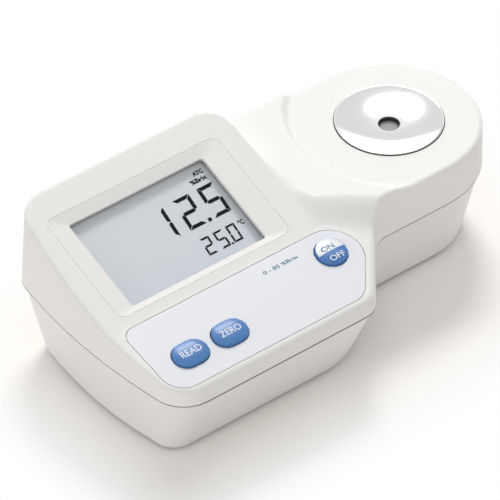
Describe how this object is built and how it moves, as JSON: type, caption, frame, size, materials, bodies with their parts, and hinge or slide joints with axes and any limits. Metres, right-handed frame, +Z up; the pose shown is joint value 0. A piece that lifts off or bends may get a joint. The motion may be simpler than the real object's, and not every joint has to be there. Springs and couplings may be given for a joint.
{
  "type": "digital refractometer",
  "caption": "Bench refractometer with a sloping display, push keys, a round steel sample well over a prism at one end, and a turning battery cover underneath.",
  "frame": {"origin": "middle of the footprint, on the surface that the rubber feet stand on", "axes": "+X from the display end to the round sample end, +Y away from the user, +Z up"},
  "size_m": [0.192, 0.102, 0.0671],
  "materials": {
    "shell": "fine satin, moulded",
    "clear": "clear, glossy",
    "display": "grey reflective display",
    "overlay": "printed film, satin",
    "key": "satin",
    "steel": "polished",
    "prism_glass": "polished",
    "rubber": "matt",
    "seal": "matt",
    "black_plastic": "moulded",
    "board": "solder mask",
    "chip": "moulded",
    "screw": "plain steel",
    "lamp": "clear amber",
    "battery": "plain dark can",
    "red_wire": "insulation",
    "black_wire": "insulation",
    "cable": "flat film cable"
  },
  "bodies": {
    "housing": {"top_housing": "shell", "bottom_housing": "shell", "housing_seal": "seal", "lcd_window": "clear", "lcd_glass": "display", "lcd_frame": "black_plastic", "lcd_contact_strip": "seal", "keypad_overlay": "overlay", "keypad_board": "board", "keypad_board_screw_1": "screw", "keypad_board_screw_2": "screw", "read_switch": "black_plastic", "zero_switch": "black_plastic", "power_switch": "black_plastic", "main_board": "board", "main_board_screw_1": "screw", "main_board_screw_2": "screw", "processor_chip": "chip", "sample_well": "steel", "prism": "prism_glass", "prism_gasket": "seal", "thermistor": "black_plastic", "optical_block": "black_plastic", "optical_block_screw_1": "screw", "optical_block_screw_2": "screw", "lamp": "lamp", "lens": "prism_glass", "image_sensor": "chip", "sensor_board": "board", "sensor_cable": "cable", "housing_screw_1": "screw", "housing_screw_2": "screw", "housing_screw_3": "screw", "housing_screw_4": "screw", "housing_screw_5": "screw", "rubber_foot_1": "rubber", "rubber_foot_2": "rubber", "rubber_foot_3": "rubber", "rubber_foot_4": "rubber", "battery": "battery", "battery_snap": "black_plastic", "battery_lead_red": "red_wire", "battery_lead_black": "black_wire"},
    "read_key": {"read_key": "key"},
    "zero_key": {"zero_key": "key"},
    "power_key": {"power_key": "key"},
    "battery_cover": {"battery_cover": "shell", "battery_cover_seal": "seal"}
  },
  "joints": [
    {"name": "read_key_press", "type": "slide", "parent": "housing", "child": "read_key", "axis": [0, 0.2055, -0.9787], "range_m": [0, 0.0006], "stiffness_N_per_m": 1000},
    {"name": "zero_key_press", "type": "slide", "parent": "housing", "child": "zero_key", "axis": [0, 0.2055, -0.9787], "range_m": [0, 0.0006], "stiffness_N_per_m": 1000},
    {"name": "power_key_press", "type": "slide", "parent": "housing", "child": "power_key", "axis": [0, 0.2055, -0.9787], "range_m": [0, 0.0006], "stiffness_N_per_m": 1000},
    {"name": "battery_cover_turn", "type": "hinge", "parent": "housing", "child": "battery_cover", "pos_m": [-0.04, 0.004, 0.0024], "axis": [0, 0, -1], "range_deg": [0, 60]}
  ]
}
